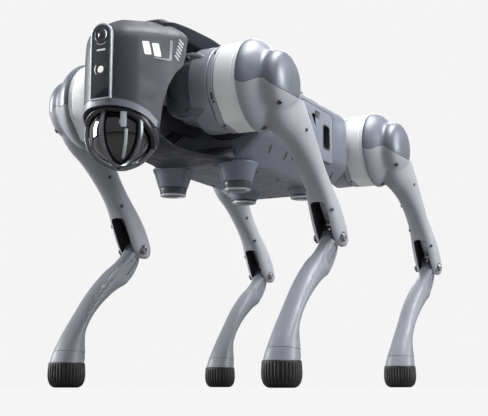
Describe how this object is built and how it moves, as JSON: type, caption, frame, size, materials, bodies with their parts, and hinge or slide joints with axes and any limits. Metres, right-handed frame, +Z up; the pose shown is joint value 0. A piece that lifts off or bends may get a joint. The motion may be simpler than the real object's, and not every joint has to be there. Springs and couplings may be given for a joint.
{
  "type": "quadruped robot",
  "caption": "Walking robot with a slim trunk, a hooded head with a scanner below it, and long jointed legs with rod-driven knees and rubber feet.",
  "frame": {"origin": "on the ground, under the centre of the standing robot's bounding box", "axes": "+X forward, towards the head; +Y to the robot's left; +Z up"},
  "size_m": [0.7005, 0.33, 0.408],
  "materials": {
    "aluminium": "milled aluminium",
    "motor_black": "black anodised aluminium",
    "slate_shell": "satin slate-grey plastic",
    "face_black": "gloss black plastic",
    "dark_glass": "dark tinted lens",
    "lamp_white": "white diffuser",
    "guard_black": "satin black plastic",
    "steel": "brushed steel",
    "pad_grey": "satin grey plastic with a dark foot ring",
    "board_green": "green circuit board",
    "battery_grey": "satin grey plastic",
    "bracket_dark": "dark grey painted aluminium",
    "ring_white": "pale anodised aluminium",
    "leg_shell": "pale grey satin-painted plastic",
    "cap_slate": "slate-grey plastic with metallic paint",
    "foot_rubber": "black moulded rubber"
  },
  "bodies": {
    "trunk": {"trunk_frame": "aluminium", "swing_motors": "motor_black", "top_shell": "slate_shell", "belly_shell": "slate_shell", "head_shell": "slate_shell", "rear_cover": "slate_shell", "face_panel": "face_black", "camera_lens": "dark_glass", "headlight_lens": "lamp_white", "lidar_base": "face_black", "lidar_guard": "guard_black", "lidar_dome": "dark_glass", "belly_pads": "pad_grey", "payload_rails": "motor_black", "main_board": "board_green", "shell_screws": "steel"},
    "battery": {"battery_pack": "battery_grey"},
    "battery_latch": {"battery_latch": "face_black"},
    "power_button": {"power_button": "lamp_white"},
    "lidar_rotor": {"lidar_rotor": "steel"},
    "front_left_hip": {"front_left_hip_bracket": "bracket_dark", "front_left_thigh_motor": "ring_white"},
    "front_left_thigh": {"front_left_thigh_inner_shell": "leg_shell", "front_left_thigh_outer_shell": "leg_shell", "front_left_shoulder_cap": "cap_slate", "front_left_leg_fasteners": "steel"},
    "front_left_crank": {"front_left_knee_crank": "motor_black"},
    "front_left_rod": {"front_left_knee_rod": "steel"},
    "front_left_calf": {"front_left_calf_shell": "leg_shell", "front_left_foot_pad": "foot_rubber"},
    "front_right_hip": {"front_right_hip_bracket": "bracket_dark", "front_right_thigh_motor": "ring_white"},
    "front_right_thigh": {"front_right_thigh_inner_shell": "leg_shell", "front_right_thigh_outer_shell": "leg_shell", "front_right_shoulder_cap": "cap_slate", "front_right_leg_fasteners": "steel"},
    "front_right_crank": {"front_right_knee_crank": "motor_black"},
    "front_right_rod": {"front_right_knee_rod": "steel"},
    "front_right_calf": {"front_right_calf_shell": "leg_shell", "front_right_foot_pad": "foot_rubber"},
    "rear_left_hip": {"rear_left_hip_bracket": "bracket_dark", "rear_left_thigh_motor": "ring_white"},
    "rear_left_thigh": {"rear_left_thigh_inner_shell": "leg_shell", "rear_left_thigh_outer_shell": "leg_shell", "rear_left_shoulder_cap": "cap_slate", "rear_left_leg_fasteners": "steel"},
    "rear_left_crank": {"rear_left_knee_crank": "motor_black"},
    "rear_left_rod": {"rear_left_knee_rod": "steel"},
    "rear_left_calf": {"rear_left_calf_shell": "leg_shell", "rear_left_foot_pad": "foot_rubber"},
    "rear_right_hip": {"rear_right_hip_bracket": "bracket_dark", "rear_right_thigh_motor": "ring_white"},
    "rear_right_thigh": {"rear_right_thigh_inner_shell": "leg_shell", "rear_right_thigh_outer_shell": "leg_shell", "rear_right_shoulder_cap": "cap_slate", "rear_right_leg_fasteners": "steel"},
    "rear_right_crank": {"rear_right_knee_crank": "motor_black"},
    "rear_right_rod": {"rear_right_knee_rod": "steel"},
    "rear_right_calf": {"rear_right_calf_shell": "leg_shell", "rear_right_foot_pad": "foot_rubber"}
  },
  "joints": [
    {"name": "lidar_spin", "type": "hinge", "parent": "trunk", "child": "lidar_rotor", "pos_m": [0.30878, 0, 0.272], "axis": [-0.5878, 0, 0.809], "continuous": true},
    {"name": "battery_slide", "type": "slide", "parent": "trunk", "child": "battery", "axis": [0, 1, 0], "range_m": [0, 0.15]},
    {"name": "battery_latch_press", "type": "slide", "parent": "battery", "child": "battery_latch", "axis": [0, -1, 0], "range_m": [0, 0.0025], "stiffness_N_per_m": 250},
    {"name": "power_button_press", "type": "slide", "parent": "battery", "child": "power_button", "axis": [0, -1, 0], "range_m": [0, 0.002], "stiffness_N_per_m": 250},
    {"name": "front_left_swing", "type": "hinge", "parent": "trunk", "child": "front_left_hip", "pos_m": [0.20418, 0.0465, 0.33831], "axis": [1, 0, 0], "range_deg": [-35, 48], "stiffness_Nm_per_rad": 150},
    {"name": "front_left_thigh", "type": "hinge", "parent": "front_left_hip", "child": "front_left_thigh", "pos_m": [0.20418, 0.142, 0.33831], "axis": [0, 1, 0], "range_deg": [-132, 70], "stiffness_Nm_per_rad": 150},
    {"name": "front_left_knee", "type": "hinge", "parent": "front_left_thigh", "child": "front_left_calf", "pos_m": [0.06165, 0.142, 0.18002], "axis": [0, -1, 0], "range_deg": [-35, 72], "stiffness_Nm_per_rad": 150},
    {"name": "front_left_crank", "type": "hinge", "parent": "front_left_thigh", "child": "front_left_crank", "pos_m": [0.20418, 0.142, 0.33831], "axis": [0, -1, 0], "range_deg": [-35, 72]},
    {"name": "front_left_rod", "type": "hinge", "parent": "front_left_crank", "child": "front_left_rod", "pos_m": [0.19952, 0.142, 0.3557], "axis": [0, -1, 0], "range_deg": [-72, 35]},
    {"name": "front_right_swing", "type": "hinge", "parent": "trunk", "child": "front_right_hip", "pos_m": [0.20418, -0.0465, 0.33831], "axis": [1, 0, 0], "range_deg": [-48, 35], "stiffness_Nm_per_rad": 150},
    {"name": "front_right_thigh", "type": "hinge", "parent": "front_right_hip", "child": "front_right_thigh", "pos_m": [0.20418, -0.142, 0.33831], "axis": [0, 1, 0], "range_deg": [-132, 70], "stiffness_Nm_per_rad": 150},
    {"name": "front_right_knee", "type": "hinge", "parent": "front_right_thigh", "child": "front_right_calf", "pos_m": [0.06165, -0.142, 0.18002], "axis": [0, -1, 0], "range_deg": [-35, 72], "stiffness_Nm_per_rad": 150},
    {"name": "front_right_crank", "type": "hinge", "parent": "front_right_thigh", "child": "front_right_crank", "pos_m": [0.20418, -0.142, 0.33831], "axis": [0, -1, 0], "range_deg": [-35, 72]},
    {"name": "front_right_rod", "type": "hinge", "parent": "front_right_crank", "child": "front_right_rod", "pos_m": [0.19952, -0.142, 0.3557], "axis": [0, -1, 0], "range_deg": [-72, 35]},
    {"name": "rear_left_swing", "type": "hinge", "parent": "trunk", "child": "rear_left_hip", "pos_m": [-0.18262, 0.0465, 0.33831], "axis": [1, 0, 0], "range_deg": [-35, 48], "stiffness_Nm_per_rad": 150},
    {"name": "rear_left_thigh", "type": "hinge", "parent": "rear_left_hip", "child": "rear_left_thigh", "pos_m": [-0.18262, 0.142, 0.33831], "axis": [0, -1, 0], "range_deg": [-218, 47], "stiffness_Nm_per_rad": 150},
    {"name": "rear_left_knee", "type": "hinge", "parent": "rear_left_thigh", "child": "rear_left_calf", "pos_m": [-0.32515, 0.142, 0.18002], "axis": [0, -1, 0], "range_deg": [-35, 72], "stiffness_Nm_per_rad": 150},
    {"name": "rear_left_crank", "type": "hinge", "parent": "rear_left_thigh", "child": "rear_left_crank", "pos_m": [-0.18262, 0.142, 0.33831], "axis": [0, -1, 0], "range_deg": [-35, 72]},
    {"name": "rear_left_rod", "type": "hinge", "parent": "rear_left_crank", "child": "rear_left_rod", "pos_m": [-0.18728, 0.142, 0.3557], "axis": [0, -1, 0], "range_deg": [-72, 35]},
    {"name": "rear_right_swing", "type": "hinge", "parent": "trunk", "child": "rear_right_hip", "pos_m": [-0.18262, -0.0465, 0.33831], "axis": [1, 0, 0], "range_deg": [-48, 35], "stiffness_Nm_per_rad": 150},
    {"name": "rear_right_thigh", "type": "hinge", "parent": "rear_right_hip", "child": "rear_right_thigh", "pos_m": [-0.18262, -0.142, 0.33831], "axis": [0, -1, 0], "range_deg": [-218, 47], "stiffness_Nm_per_rad": 150},
    {"name": "rear_right_knee", "type": "hinge", "parent": "rear_right_thigh", "child": "rear_right_calf", "pos_m": [-0.32515, -0.142, 0.18002], "axis": [0, -1, 0], "range_deg": [-35, 72], "stiffness_Nm_per_rad": 150},
    {"name": "rear_right_crank", "type": "hinge", "parent": "rear_right_thigh", "child": "rear_right_crank", "pos_m": [-0.18262, -0.142, 0.33831], "axis": [0, -1, 0], "range_deg": [-35, 72]},
    {"name": "rear_right_rod", "type": "hinge", "parent": "rear_right_crank", "child": "rear_right_rod", "pos_m": [-0.18728, -0.142, 0.3557], "axis": [0, -1, 0], "range_deg": [-72, 35]}
  ],
  "couplings": [
    {"joint": "front_left_crank", "follows": "front_left_knee", "ratio": 1},
    {"joint": "front_left_rod", "follows": "front_left_knee", "ratio": -1},
    {"joint": "front_right_crank", "follows": "front_right_knee", "ratio": 1},
    {"joint": "front_right_rod", "follows": "front_right_knee", "ratio": -1},
    {"joint": "rear_left_crank", "follows": "rear_left_knee", "ratio": 1},
    {"joint": "rear_left_rod", "follows": "rear_left_knee", "ratio": -1},
    {"joint": "rear_right_crank", "follows": "rear_right_knee", "ratio": 1},
    {"joint": "rear_right_rod", "follows": "rear_right_knee", "ratio": -1}
  ]
}
